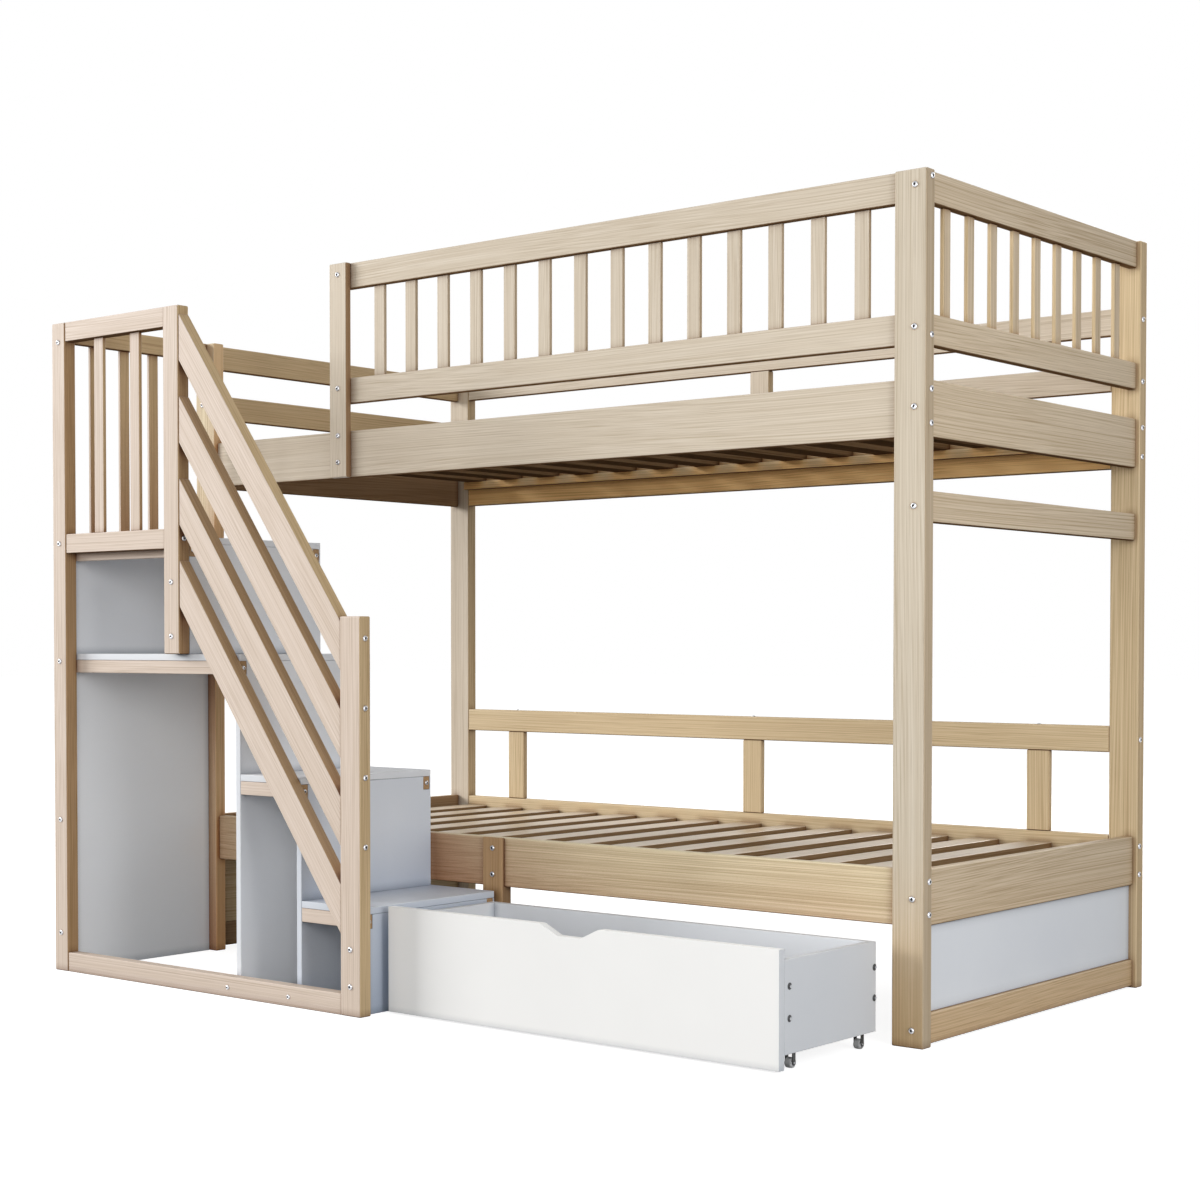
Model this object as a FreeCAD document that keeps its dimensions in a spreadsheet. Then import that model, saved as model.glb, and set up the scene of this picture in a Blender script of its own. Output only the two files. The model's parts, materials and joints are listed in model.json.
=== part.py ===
import FreeCAD, Part
import os
import re

import Sketcher

# A bunk bed: two slatted tiers on four posts, a storage stair in front of the left end, and a
# drawer on castors that rolls out from under the lower tier. X runs along the bed, Y from the
# front to the wall side, Z up. The origin is on the floor under the middle of the whole object.

# Driving dimensions in millimetres, and plain counts
SIZES = {
    # whole bed
    "bed_length": 2114,
    "bed_width": 975,
    "post_width": 70,
    "post_depth": 32,
    "board_ease": 3,
    "thin_ease": 1.5,
    "panel_ease": 0.8,
    # rails of both tiers
    "rail_thickness": 22,
    "rail_setback": 10,
    "side_rail_depth": 110,
    "guard_rail_depth": 60,
    "lower_rail_top": 343,
    "tier_spacing": 940,
    "cross_bar_drop": 103,
    # slats and the ledgers that carry them
    "slat_count": 15,
    "slat_width": 68,
    "slat_thickness": 18,
    "slat_drop": 25,
    "slat_margin": 4,
    "slat_end_play": 2,
    "ledger_depth": 20,
    "ledger_height": 22,
    # guards of the upper tier
    "guard_gap": 65.5,
    "baluster_height": 211.5,
    "entry_width": 424,
    "guard_post_width": 57,
    "guard_post_thickness": 17,
    "front_baluster_count": 14,
    "front_baluster_width": 34,
    "end_baluster_count": 9,
    "end_baluster_width": 27,
    "baluster_thickness": 9,
    "baluster_setback": 9,
    "upright_width": 58,
    "upper_upright_offset": 22,
    # guard of the lower tier
    "lower_upright_count": 3,
    "lower_upright_height": 188,
    "lower_upright_inset": 150,
    "lower_upright_thickness": 16,
    # ends and middle leg
    "end_panel_thickness": 12,
    "end_panel_setback": 9,
    "end_foot_gap": 4,
    "middle_leg_width": 60,
    "middle_leg_lap": 8,
    "middle_leg_depth": 30,
    "middle_leg_offset": 12,
    # stair unit
    "stair_depth": 446,
    "stair_left_inset": 8,
    "stair_back_gap": 12,
    "stair_run": 1025,
    "step_run": 195,
    "top_step_run": 168,
    "first_tread_height": 225,
    "tread_rise": 264.5,
    "panel_thickness": 15,
    "left_post_width": 48,
    "middle_post_width": 52,
    "newel_width": 59,
    "newel_height": 834,
    "newel_lap": 16,
    "stair_rail_depth": 45,
    "stair_rail_setback": 2,
    "platform_rail_rise": 17.5,
    "stair_baluster_count": 2,
    "side_setback": 13,
    "side_rail_thickness": 22,
    "side_baluster_count": 4,
    "side_baluster_width": 28,
    "bearer_height": 30,
    "bearer_thickness": 20,
    "bearer_inset": 4,
    "handrail_count": 4,
    "handrail_depth": 104,
    "handrail_foot": 124,
    "handrail_drop": 19.5,
    "handrail_fall": 691,
    # drawer, standing pulled out
    "drawer_pull": 370,
    "drawer_side_gap": 10.5,
    "drawer_depth": 331,
    "drawer_front_gap": 5,
    "drawer_top_gap": 7,
    "drawer_front_thickness": 18,
    "drawer_side_drop": 20,
    "drawer_bottom_thickness": 12,
    "notch_width": 148,
    "notch_floor": 60,
    "notch_depth": 21,
    "notch_round": 14,
    # castors
    "castor_height": 32,
    "castor_side_inset": 20.5,
    "castor_front_inset": 67,
    "castor_back_inset": 29,
    "wheel_radius": 10,
    "wheel_width": 13,
    "wheel_ease": 1.2,
    "hub_radius": 3.4,
    "fork_gap": 0.6,
    "fork_sheet": 1.5,
    "fork_length": 10,
    "fork_reach": 5,
    "fork_toe_flat": 0.5,
    "plate_length": 30,
    "plate_width": 26,
    "plate_thickness": 2,
    "axle_radius": 1.5,
    "axle_play": 0.05,
    "axle_overhang": 0.8,
}

# Places worked out from the driving dimensions
PLACES = {
    # outside faces and post faces of the bed
    "bed_left": "-bed_length / 2",
    "bed_right": "bed_length / 2",
    "bed_front": "(stair_depth - bed_width) / 2",
    "bed_back": "(stair_depth + bed_width) / 2",
    "bay_left": "bed_left + post_width",
    "bay_right": "bed_right - post_width",
    "front_post_back": "bed_front + post_depth",
    "back_post_front": "bed_back - post_depth",
    # rail faces
    "front_rail_face": "bed_front + rail_setback",
    "front_inside": "front_rail_face + rail_thickness",
    "back_rail_face": "bed_back - rail_setback",
    "back_inside": "back_rail_face - rail_thickness",
    "right_rail_face": "bed_right - rail_setback",
    "right_inside": "right_rail_face - rail_thickness",
    "left_rail_face": "bed_left + rail_setback",
    "end_rail_spacing": "bed_length - 2 * rail_setback - rail_thickness",
    # heights of the rails
    "upper_rail_top": "lower_rail_top + tier_spacing",
    "upper_rail_bottom": "upper_rail_top - side_rail_depth",
    "lower_rail_bottom": "lower_rail_top - side_rail_depth",
    "cross_bar_top": "upper_rail_bottom - cross_bar_drop",
    "guard_lower_top": "upper_rail_top + guard_gap + guard_rail_depth",
    "guard_top_bottom": "guard_lower_top + baluster_height",
    "short_post_height": "guard_lower_top + guard_gap + guard_rail_depth",
    "tall_post_height": "guard_top_bottom + guard_rail_depth",
    "lower_guard_bottom": "lower_rail_top + lower_upright_height",
    # slats
    "slat_pitch": "(bay_right - bay_left - 2 * slat_margin - slat_width) / (slat_count - 1)",
    "ledger_bottom": "lower_rail_top - slat_drop - slat_thickness - ledger_height",
    # guards
    "guard_left": "bay_left + entry_width",
    "guard_right": "guard_left + guard_post_width",
    "front_guard_run": "bay_right - guard_right",
    "front_baluster_gap": "(front_guard_run - front_baluster_count * front_baluster_width)"
                          " / (front_baluster_count + 1)",
    "end_guard_run": "back_post_front - front_post_back",
    "end_baluster_gap": "(end_guard_run - end_baluster_count * end_baluster_width)"
                        " / (end_baluster_count + 1)",
    "lower_upright_pitch": "(bay_right - bay_left - 2 * lower_upright_inset - upright_width)"
                           " / (lower_upright_count - 1)",
    "end_bottom_top": "end_foot_gap + guard_rail_depth",
    # stair faces
    "stair_front": "-(stair_depth + bed_width) / 2",
    "stair_back": "bed_front - stair_back_gap",
    "stair_rail_face": "stair_front + stair_rail_setback",
    "tread_front": "stair_front + post_depth",
    "tread_depth": "stair_back - tread_front",
    "stair_left": "bed_left + stair_left_inset",
    "left_post_face": "stair_left + left_post_width",
    "side_face": "left_post_face - side_setback",
    "side_run": "bed_front - tread_front",
    "first_riser": "bed_left + stair_run",
    "second_riser": "first_riser - step_run",
    "third_riser": "second_riser - step_run",
    "fourth_riser": "third_riser - top_step_run",
    "newel_right": "first_riser + newel_lap",
    "newel_left": "newel_right - newel_width",
    "middle_post_left": "fourth_riser - middle_post_width",
    "leg_right": "first_riser + middle_leg_offset",
    # stair heights
    "second_tread": "first_tread_height + tread_rise",
    "third_tread": "second_tread + tread_rise",
    "fourth_tread": "third_tread + tread_rise",
    "platform_rail_top": "fourth_tread + platform_rail_rise",
    "platform_rail_bottom": "platform_rail_top - stair_rail_depth",
    "stair_rail_bottom": "short_post_height - stair_rail_depth",
    "stair_rail_spacing": "short_post_height - platform_rail_top",
    "stair_front_run": "middle_post_left - left_post_face",
    "stair_baluster_gap": "(stair_front_run - stair_baluster_count * front_baluster_width)"
                          " / (stair_baluster_count + 1)",
    "side_baluster_gap": "(side_run - side_baluster_count * side_baluster_width)"
                         " / (side_baluster_count + 1)",
    "bearer_spacing": "tread_depth - bearer_thickness - bearer_inset",
    "handrail_run": "newel_left - fourth_riser",
    "handrail_low": "stair_rail_depth + handrail_foot",
    "handrail_high": "short_post_height - handrail_drop - handrail_depth - handrail_fall",
    "handrail_pitch": "(handrail_high - handrail_low) / (handrail_count - 1)",
    # drawer faces
    "drawer_left": "leg_right + drawer_side_gap",
    "drawer_right": "bay_right - drawer_side_gap",
    "drawer_width": "drawer_right - drawer_left",
    "drawer_face": "bed_front - drawer_pull",
    "drawer_side_front": "drawer_face + drawer_front_thickness",
    "drawer_end": "drawer_face + drawer_depth",
    "drawer_top": "lower_rail_bottom - drawer_top_gap",
    "drawer_front_height": "drawer_top - drawer_front_gap",
    "drawer_side_top": "drawer_top - drawer_side_drop",
    # castors
    "castor_left": "drawer_left + castor_side_inset",
    "castor_front": "drawer_face + castor_front_inset",
    "castor_span": "drawer_width - 2 * castor_side_inset",
    "castor_stretch": "drawer_depth - castor_front_inset - castor_back_inset",
    "fork_inner": "wheel_width / 2 + fork_gap",
    "fork_outer": "fork_inner + fork_sheet",
    "fork_round": "fork_length / 2 - fork_toe_flat",
    "plate_bottom": "castor_height - plate_thickness",
}

os.makedirs("parts", exist_ok=True)
doc = FreeCAD.newDocument("bunk_bed")
sheet = doc.addObject("Spreadsheet::Sheet", "sizes")
for row, (alias, value) in enumerate(SIZES.items(), start=1):
    sheet.set("A%d" % row, alias)
    sheet.set("B%d" % row, str(value))
    sheet.setAlias("B%d" % row, alias)
doc.recompute()

bodies = []


def spell(text):
    """Write an expression of named places out in cells of the sheet."""
    def word(match):
        name = match.group()
        if name in PLACES:
            return "(" + spell(PLACES[name]) + ")"
        return "sizes." + name
    return re.sub(r"[a-z_]+", word, text)


def number(text):
    """The present value of an expression."""
    return float(sheet.evalExpression(spell(text)))


def length(span):
    """The distance between the two ends of a span."""
    return "(%s) - (%s)" % (span[1], span[0])


def new_body(label, x, y, z):
    """An empty sub-part, placed by three expressions."""
    body = doc.addObject("PartDesign::Body", label)
    body.Label = label
    for axis, text in zip("xyz", (x, y, z)):
        body.setExpression("Placement.Base." + axis, spell(text))
    bodies.append(body)
    return body


def datum(body, role):
    """One of the body's own origin planes or axes."""
    return next(item for item in body.Origin.OriginFeatures if item.Role == role)


def new_sketch(body, role, name):
    sketch = body.newObject("Sketcher::SketchObject", "%s_%s" % (body.Name, name))
    sketch.AttachmentSupport = [(datum(body, role), "")]
    sketch.MapMode = "FlatFace"
    return sketch


def hold_point(sketch, line, end, point):
    """Fix one end of a line at two expressions measured from the sketch's origin."""
    on_axis = (-2, -1)
    kinds = ("DistanceX", "DistanceY")
    for kind, axis, text in zip(kinds, on_axis, point):
        if text == "0":
            sketch.addConstraint(Sketcher.Constraint("PointOnObject", line, end, axis))
            continue
        value = number(text)
        index = sketch.addConstraint(Sketcher.Constraint(kind, -1, 1, line, end, value))
        sketch.setExpression("Constraints[%d]" % index, spell(text))


def polygon(body, role, points, name="outline"):
    """A closed outline whose every corner is held by expressions."""
    sketch = new_sketch(body, role, name)
    corners = [FreeCAD.Vector(number(across), number(up), 0) for across, up in points]
    count = len(corners)
    for index, corner in enumerate(corners):
        sketch.addGeometry(Part.LineSegment(corner, corners[(index + 1) % count]))
    for index in range(count):
        sketch.addConstraint(Sketcher.Constraint("Coincident", index, 2, (index + 1) % count, 1))
    for index, point in enumerate(points):
        hold_point(sketch, index, 1, point)
    return sketch


def disc(body, role, radius, name):
    """A circle about the sketch's origin."""
    sketch = new_sketch(body, role, name)
    centre = FreeCAD.Vector(0, 0, 0)
    sketch.addGeometry(Part.Circle(centre, FreeCAD.Vector(0, 0, 1), number(radius)))
    sketch.addConstraint(Sketcher.Constraint("Coincident", 0, 3, -1, 1))
    index = sketch.addConstraint(Sketcher.Constraint("Radius", 0, number(radius)))
    sketch.setExpression("Constraints[%d]" % index, spell(radius))
    return sketch


def rectangle(across, up):
    return [("0", "0"), (across, "0"), (across, up), ("0", up)]


def pad(body, sketch, height, name="pad", turned=False):
    feature = body.newObject("PartDesign::Pad", "%s_%s" % (body.Name, name))
    feature.Profile = sketch
    feature.Reversed = turned
    feature.setExpression("Length", spell(height))
    return feature


def turn(body, sketch):
    """A solid of revolution about the body's X axis."""
    feature = body.newObject("PartDesign::Revolution", body.Name + "_turn")
    feature.Profile = sketch
    feature.ReferenceAxis = (datum(body, "X_Axis"), [""])
    return feature


def eased(body, base, size, edges=()):
    """The named edges of a board, or all of them, taken off by a small chamfer."""
    feature = body.newObject("PartDesign::Chamfer", body.Name + "_ease")
    feature.Base = (base, list(edges) or [""])
    feature.UseAllEdges = not edges
    feature.setExpression("Size", spell(size))
    return feature


def edges_where(shape, wanted):
    """Names of the edges whose two end points pass a test."""
    names = []
    for index, edge in enumerate(shape.Edges, start=1):
        start, end = (vertex.Point for vertex in edge.Vertexes)
        if wanted(start, end):
            names.append("Edge%d" % index)
    return names


def long_edges(solid):
    """Names of the edges along the length of a straight piece."""
    doc.recompute()
    half_length = max(edge.Length for edge in solid.Shape.Edges) / 2
    return edges_where(solid.Shape, lambda start, end: (end - start).Length > half_length)


def repeated(body, base, axis, count, pitch):
    """A row of whole pieces along X, Y or Z."""
    feature = body.newObject("PartDesign::LinearPattern", "%s_row_%s" % (body.Name, axis.lower()))
    feature.TransformMode = "Whole shape"
    feature.BaseFeature = base
    feature.Direction = (datum(body, axis + "_Axis"), [""])
    feature.Mode = "Spacing"
    feature.setExpression("Offset", spell(pitch))
    feature.setExpression("Occurrences", spell(count))
    body.Tip = feature
    return feature


def board(label, x, y, z, ease="board_ease", rows=(), square_ends=False):
    """A straight board between the given spans, with eased edges, alone or in rows."""
    body = new_body(label, x[0], y[0], z[0])
    section = polygon(body, "XY_Plane", rectangle(length(x), length(y)))
    solid = pad(body, section, length(z))
    feature = eased(body, solid, ease, long_edges(solid) if square_ends else ())
    for axis, count, pitch in rows:
        feature = repeated(body, feature, axis, count, pitch)
    return body


def strip(label, x, y, z, rows):
    """A row of thin strips that are eased along their length and cut square at their ends."""
    return board(label, x, y, z, "thin_ease", rows, square_ends=True)


def bed_posts():
    right = ("bay_right", "bed_right")
    left = ("bed_left", "bay_left")
    front = ("bed_front", "front_post_back")
    back = ("back_post_front", "bed_back")
    board("post_front_right", right, front, ("0", "tall_post_height"))
    board("post_back_right", right, back, ("0", "tall_post_height"))
    board("post_front_left", left, front, ("0", "short_post_height"))
    board("post_back_left", left, back, ("0", "short_post_height"))


def tier_rails(tier, bottom, top):
    """Side rails between the posts and end rails behind them."""
    along = ("bay_left", "bay_right")
    across = ("front_post_back", "back_post_front")
    front = ("front_rail_face", "front_inside")
    back = ("back_inside", "back_rail_face")
    end = ("left_rail_face", "left_rail_face + rail_thickness")
    board(tier + "_side_rail_front", along, front, (bottom, top))
    board(tier + "_side_rail_back", along, back, (bottom, top))
    board(tier + "_end_rails", end, across, (bottom, top), rows=[("X", "2", "end_rail_spacing")])


def slatted_bases():
    slat = ("bay_left + slat_margin", "bay_left + slat_margin + slat_width")
    across = ("front_inside + slat_end_play", "back_inside - slat_end_play")
    top = "lower_rail_top - slat_drop"
    low = (top + " - slat_thickness", top)
    high = (low[0] + " + tier_spacing", low[1] + " + tier_spacing")
    row = [("X", "slat_count", "slat_pitch")]
    strip("lower_slats", slat, across, low, row)
    strip("upper_slats", slat, across, high, row)
    ledger = ("front_inside", "front_inside + ledger_depth")
    height = ("ledger_bottom", "ledger_bottom + ledger_height")
    rows = [("Y", "2", "back_inside - front_inside - ledger_depth"), ("Z", "2", "tier_spacing")]
    strip("ledgers", ("bay_left", "bay_right"), ledger, height, rows)


def front_guard():
    face = ("front_rail_face", "front_inside")
    rail = ("guard_lower_top - guard_rail_depth", "guard_lower_top")
    pair = [("Z", "2", "tall_post_height - guard_lower_top")]
    board("front_guard_rails", ("guard_left", "bay_right"), face, rail, rows=pair)
    proud = ("front_rail_face - guard_post_thickness", "front_rail_face")
    board("guard_post", ("guard_left", "guard_right"), proud, ("upper_rail_bottom", "tall_post_height"))
    first = "guard_right + front_baluster_gap"
    wide = (first, first + " + front_baluster_width")
    deep = "front_rail_face + baluster_setback"
    thick = (deep, deep + " + baluster_thickness")
    row = [("X", "front_baluster_count", "front_baluster_gap + front_baluster_width")]
    strip("front_guard_balusters", wide, thick, ("guard_lower_top", "guard_top_bottom"), row)


def end_guards():
    right = ("right_inside", "right_rail_face")
    left = ("left_rail_face", "left_rail_face + rail_thickness")
    across = ("front_post_back", "back_post_front")
    rail = ("guard_lower_top - guard_rail_depth", "guard_lower_top")
    tall_pair = [("Z", "2", "tall_post_height - guard_lower_top")]
    short_pair = [("Z", "2", "short_post_height - guard_lower_top")]
    board("end_guard_rails", right, across, rail, rows=tall_pair)
    board("left_end_guard_rails", left, across, rail, rows=short_pair)
    board("end_cross_bar", right, across, ("cross_bar_top - guard_rail_depth", "cross_bar_top"))
    first = "front_post_back + end_baluster_gap"
    wide = (first, first + " + end_baluster_width")
    face = "right_rail_face - baluster_setback"
    thick = (face + " - baluster_thickness", face)
    row = [("Y", "end_baluster_count", "end_baluster_gap + end_baluster_width")]
    strip("end_guard_balusters", thick, wide, ("guard_lower_top", "guard_top_bottom"), row)


def back_guards():
    face = ("back_inside", "back_rail_face")
    along = ("bay_left", "bay_right")
    rail = ("guard_lower_top - guard_rail_depth", "guard_lower_top")
    pair = [("Z", "2", "short_post_height - guard_lower_top")]
    board("back_guard_rails", along, face, rail, rows=pair)
    middle = "upper_upright_offset - upright_width / 2"
    wide = (middle, middle + " + upright_width")
    tall = ("upper_rail_top", "upper_rail_top + guard_gap")
    row = [("Z", "2", "guard_gap + guard_rail_depth")]
    board("back_guard_uprights", wide, face, tall, rows=row)
    low_rail = ("lower_guard_bottom", "lower_guard_bottom + guard_rail_depth")
    board("lower_back_guard_rail", along, face, low_rail)
    first = "bay_left + lower_upright_inset"
    wide = (first, first + " + upright_width")
    inner = "back_inside + (rail_thickness - lower_upright_thickness) / 2"
    thick = (inner, inner + " + lower_upright_thickness")
    row = [("X", "lower_upright_count", "lower_upright_pitch")]
    tall = ("lower_rail_top", "lower_guard_bottom")
    board("lower_back_guard_uprights", wide, thick, tall, rows=row)


def end_closures():
    """Panels under the lower end rails, each with a rail below it."""
    across = ("front_post_back", "back_post_front")
    panel = ("end_bottom_top", "lower_rail_bottom")
    face = "right_rail_face - end_panel_setback"
    right = (face + " - end_panel_thickness", face)
    face = "left_rail_face + end_panel_setback"
    left = (face, face + " + end_panel_thickness")
    board("end_panel_right", right, across, panel, "panel_ease")
    board("end_panel_left", left, across, panel, "panel_ease")
    end = ("left_rail_face", "left_rail_face + rail_thickness")
    row = [("X", "2", "end_rail_spacing")]
    board("end_bottom_rails", end, across, ("end_foot_gap", "end_bottom_top"), rows=row)


def middle_leg():
    """A leg that stands under the front rail and laps up over its face."""
    face = "front_rail_face - middle_leg_lap"
    body = new_body("middle_leg", "leg_right - middle_leg_width", face, "0")
    side = [
        ("0", "0"),
        ("middle_leg_depth", "0"),
        ("middle_leg_depth", "lower_rail_bottom"),
        ("middle_leg_lap", "lower_rail_bottom"),
        ("middle_leg_lap", "lower_rail_top"),
        ("0", "lower_rail_top"),
    ]
    outline = polygon(body, "YZ_Plane", side)
    eased(body, pad(body, outline, "middle_leg_width"), "thin_ease")


def stair_posts():
    thick = ("stair_front", "tread_front")
    board("stair_post_left", ("stair_left", "left_post_face"), thick, ("0", "short_post_height"))
    middle = ("middle_post_left", "fourth_riser")
    board("stair_post_middle", middle, thick, ("third_tread", "short_post_height"))
    board("stair_newel", ("newel_left", "newel_right"), thick, ("0", "newel_height"))


def stair_railing():
    thick = ("stair_rail_face", "tread_front")
    along = ("left_post_face", "middle_post_left")
    rail = ("platform_rail_bottom", "platform_rail_top")
    pair = [("Z", "2", "stair_rail_spacing")]
    board("stair_front_rails", along, thick, rail, "thin_ease", pair)
    floor_run = ("left_post_face", "newel_left")
    board("stair_bottom_rail", floor_run, thick, ("0", "stair_rail_depth"), "thin_ease")
    first = "left_post_face + stair_baluster_gap"
    wide = (first, first + " + front_baluster_width")
    deep = "stair_rail_face + baluster_setback"
    slim = (deep, deep + " + baluster_thickness")
    tall = ("platform_rail_top", "stair_rail_bottom")
    row = [("X", "stair_baluster_count", "stair_baluster_gap + front_baluster_width")]
    strip("stair_front_balusters", wide, slim, tall, row)
    side = ("side_face - side_rail_thickness", "side_face")
    run = ("tread_front", "bed_front")
    board("stair_side_rails", side, run, rail, "thin_ease", pair)
    first = "tread_front + side_baluster_gap"
    wide = (first, first + " + side_baluster_width")
    face = "side_face - baluster_setback"
    slim = (face + " - baluster_thickness", face)
    row = [("Y", "side_baluster_count", "side_baluster_gap + side_baluster_width")]
    strip("stair_side_balusters", slim, wide, tall, row)
    wall = ("side_face - panel_thickness", "side_face")
    board("stair_side_panel", wall, run, ("0", "platform_rail_bottom"), "panel_ease")


def handrail():
    """Slanted boards with upright ends, cut to fit between the middle post and the newel."""
    body = new_body("handrail_boards", "fourth_riser", "stair_rail_face", "handrail_low")
    slant = [
        ("0", "handrail_fall"),
        ("handrail_run", "0"),
        ("handrail_run", "handrail_depth"),
        ("0", "handrail_fall + handrail_depth"),
    ]
    outline = polygon(body, "XZ_Plane", slant)
    solid = pad(body, outline, "post_depth - stair_rail_setback", turned=True)
    plank = eased(body, solid, "thin_ease", long_edges(solid))
    repeated(body, plank, "Z", "handrail_count", "handrail_pitch")


def riser(label, face, bottom, top):
    """An upright panel with slots at its top edge that the bearers of its tread pass through."""
    body = new_body(label, face + " - panel_thickness", "tread_front", bottom)
    height = length((bottom, top))
    slot = height + " - bearer_height"
    back = "tread_depth - bearer_inset"
    side = [
        ("0", "0"),
        ("tread_depth", "0"),
        ("tread_depth", height),
        (back, height),
        (back, slot),
        (back + " - bearer_thickness", slot),
        (back + " - bearer_thickness", height),
        ("bearer_thickness", height),
        ("bearer_thickness", slot),
        ("0", slot),
    ]
    pad(body, polygon(body, "YZ_Plane", side), "panel_thickness")


def stair_steps():
    steps = [
        ("1", "second_riser", "first_riser", "0", "first_tread_height"),
        ("2", "third_riser", "second_riser", "0", "second_tread"),
        ("3", "side_face", "third_riser", "0", "third_tread"),
        ("4", "side_face", "fourth_riser", "third_tread", "fourth_tread"),
    ]
    deep = ("tread_front", "stair_back")
    bearer = ("tread_front", "tread_front + bearer_thickness")
    pair = [("Y", "2", "bearer_spacing")]
    for step, left, face, floor, top in steps:
        under = top + " - panel_thickness"
        board("tread_" + step, (left, face), deep, (under, top), "panel_ease")
        riser("riser_" + step, face, floor, under)
        drop = under + " - bearer_height"
        board("tread_bearers_" + step, (left, face), bearer, (drop, under), "panel_ease", pair)


def drawer_front():
    """The front board, with a shallow rounded finger notch in its top edge."""
    body = new_body("drawer_front", "drawer_left", "drawer_face", "drawer_front_gap")
    middle = "drawer_width / 2"
    floor = "drawer_front_height - notch_depth"
    face = [
        ("0", "0"),
        ("drawer_width", "0"),
        ("drawer_width", "drawer_front_height"),
        (middle + " + notch_width / 2", "drawer_front_height"),
        (middle + " + notch_floor / 2", floor),
        (middle + " - notch_floor / 2", floor),
        (middle + " - notch_width / 2", "drawer_front_height"),
        ("0", "drawer_front_height"),
    ]
    outline = polygon(body, "XZ_Plane", face)
    solid = pad(body, outline, "drawer_front_thickness", turned=True)
    doc.recompute()
    centre = number(middle)
    half_depth = number("drawer_front_thickness") / 2

    def notch_corner(start, end):
        return abs(start.y - end.y) > half_depth and abs(start.x - centre) < centre / 2

    corners = edges_where(solid.Shape, notch_corner)
    rounded = body.newObject("PartDesign::Fillet", "drawer_front_notch_rounding")
    rounded.Base = (solid, corners)
    rounded.setExpression("Radius", spell("notch_round"))


def drawer_box():
    run = ("drawer_side_front", "drawer_end")
    tall = ("castor_height", "drawer_side_top")
    side = ("drawer_left", "drawer_left + panel_thickness")
    inner = ("drawer_left + panel_thickness", "drawer_right - panel_thickness")
    pair = [("X", "2", "drawer_width - panel_thickness")]
    board("drawer_sides", side, run, tall, "panel_ease", pair)
    rear = ("drawer_end - panel_thickness", "drawer_end")
    board("drawer_back", inner, rear, tall, "panel_ease")
    floor = ("castor_height", "castor_height + drawer_bottom_thickness")
    board("drawer_bottom", inner, ("drawer_side_front", rear[0]), floor, "panel_ease")


def castor_rows(body, base):
    """One castor piece repeated at the four corners of the drawer."""
    across = repeated(body, base, "X", "2", "castor_span")
    repeated(body, across, "Y", "2", "castor_stretch")


def castor_forks():
    """Bent sheet forks under a mounting plate, with rounded toes drilled for the axle."""
    body = new_body("castor_forks", "castor_left", "castor_front", "wheel_radius")
    top = "plate_bottom - wheel_radius"
    crown = "%s - fork_sheet" % top
    arch = [
        ("-fork_outer", "-fork_reach"),
        ("-fork_inner", "-fork_reach"),
        ("-fork_inner", crown),
        ("fork_inner", crown),
        ("fork_inner", "-fork_reach"),
        ("fork_outer", "-fork_reach"),
        ("fork_outer", top),
        ("-fork_outer", top),
    ]
    cheeks = pad(body, polygon(body, "XZ_Plane", arch), "fork_length")
    cheeks.Midplane = True
    doc.recompute()
    half_length = number("fork_length") / 2

    def toe(start, end):
        return max(start.z, end.z) < 0 and abs(start.y - end.y) < half_length

    toes = edges_where(cheeks.Shape, toe)
    rounded = body.newObject("PartDesign::Fillet", "castor_fork_toes")
    rounded.Base = (cheeks, toes)
    rounded.setExpression("Radius", spell("fork_round"))
    bore = body.newObject("PartDesign::Pocket", "castor_fork_bore")
    bore.Profile = disc(body, "YZ_Plane", "axle_radius + axle_play", "bore")
    bore.Type = "ThroughAll"
    bore.Midplane = True
    wide = "plate_width / 2"
    deep = "plate_length / 2"
    outline = [("-" + wide, "-" + deep), (wide, "-" + deep), (wide, deep), ("-" + wide, deep)]
    plate = polygon(body, "XY_Plane", outline, "plate")
    plate.setExpression("AttachmentOffset.Base.z", spell(top))
    castor_rows(body, pad(body, plate, "plate_thickness", "plate_pad"))


def castor_axles():
    """Plain axle pins that stand a little out of both cheeks of their forks."""
    body = new_body("castor_axles", "castor_left", "castor_front", "wheel_radius")
    tip = "fork_outer + axle_overhang"
    back_tip = "-(%s)" % tip
    section = [(back_tip, "0"), (tip, "0"), (tip, "axle_radius"), (back_tip, "axle_radius")]
    castor_rows(body, turn(body, polygon(body, "XZ_Plane", section)))


def castor_wheel(label, x, y):
    """A broad tyre with eased shoulders on a slightly longer hub."""
    body = new_body(label, x, y, "wheel_radius")
    bore = "axle_radius + axle_play"
    hub = "fork_inner - axle_play"
    tyre = "wheel_width / 2"
    crown = "wheel_width / 2 - wheel_ease"
    half = [
        (hub, bore),
        (hub, "hub_radius"),
        (tyre, "hub_radius"),
        (tyre, "wheel_radius - wheel_ease"),
        (crown, "wheel_radius"),
    ]
    mirrored = [("-(%s)" % across, radius) for across, radius in reversed(half)]
    turn(body, polygon(body, "XZ_Plane", half + mirrored))


def castor_wheels():
    sides = [("left", "castor_left"), ("right", "castor_left + castor_span")]
    ends = [("front", "castor_front"), ("back", "castor_front + castor_stretch")]
    for end, y in ends:
        for side, x in sides:
            castor_wheel("castor_wheel_%s_%s" % (end, side), x, y)


bed_posts()
tier_rails("upper", "upper_rail_bottom", "upper_rail_top")
tier_rails("lower", "lower_rail_bottom", "lower_rail_top")
slatted_bases()
front_guard()
end_guards()
back_guards()
end_closures()
middle_leg()
stair_posts()
stair_railing()
handrail()
stair_steps()
drawer_front()
drawer_box()
castor_forks()
castor_axles()
castor_wheels()
doc.recompute()

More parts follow.
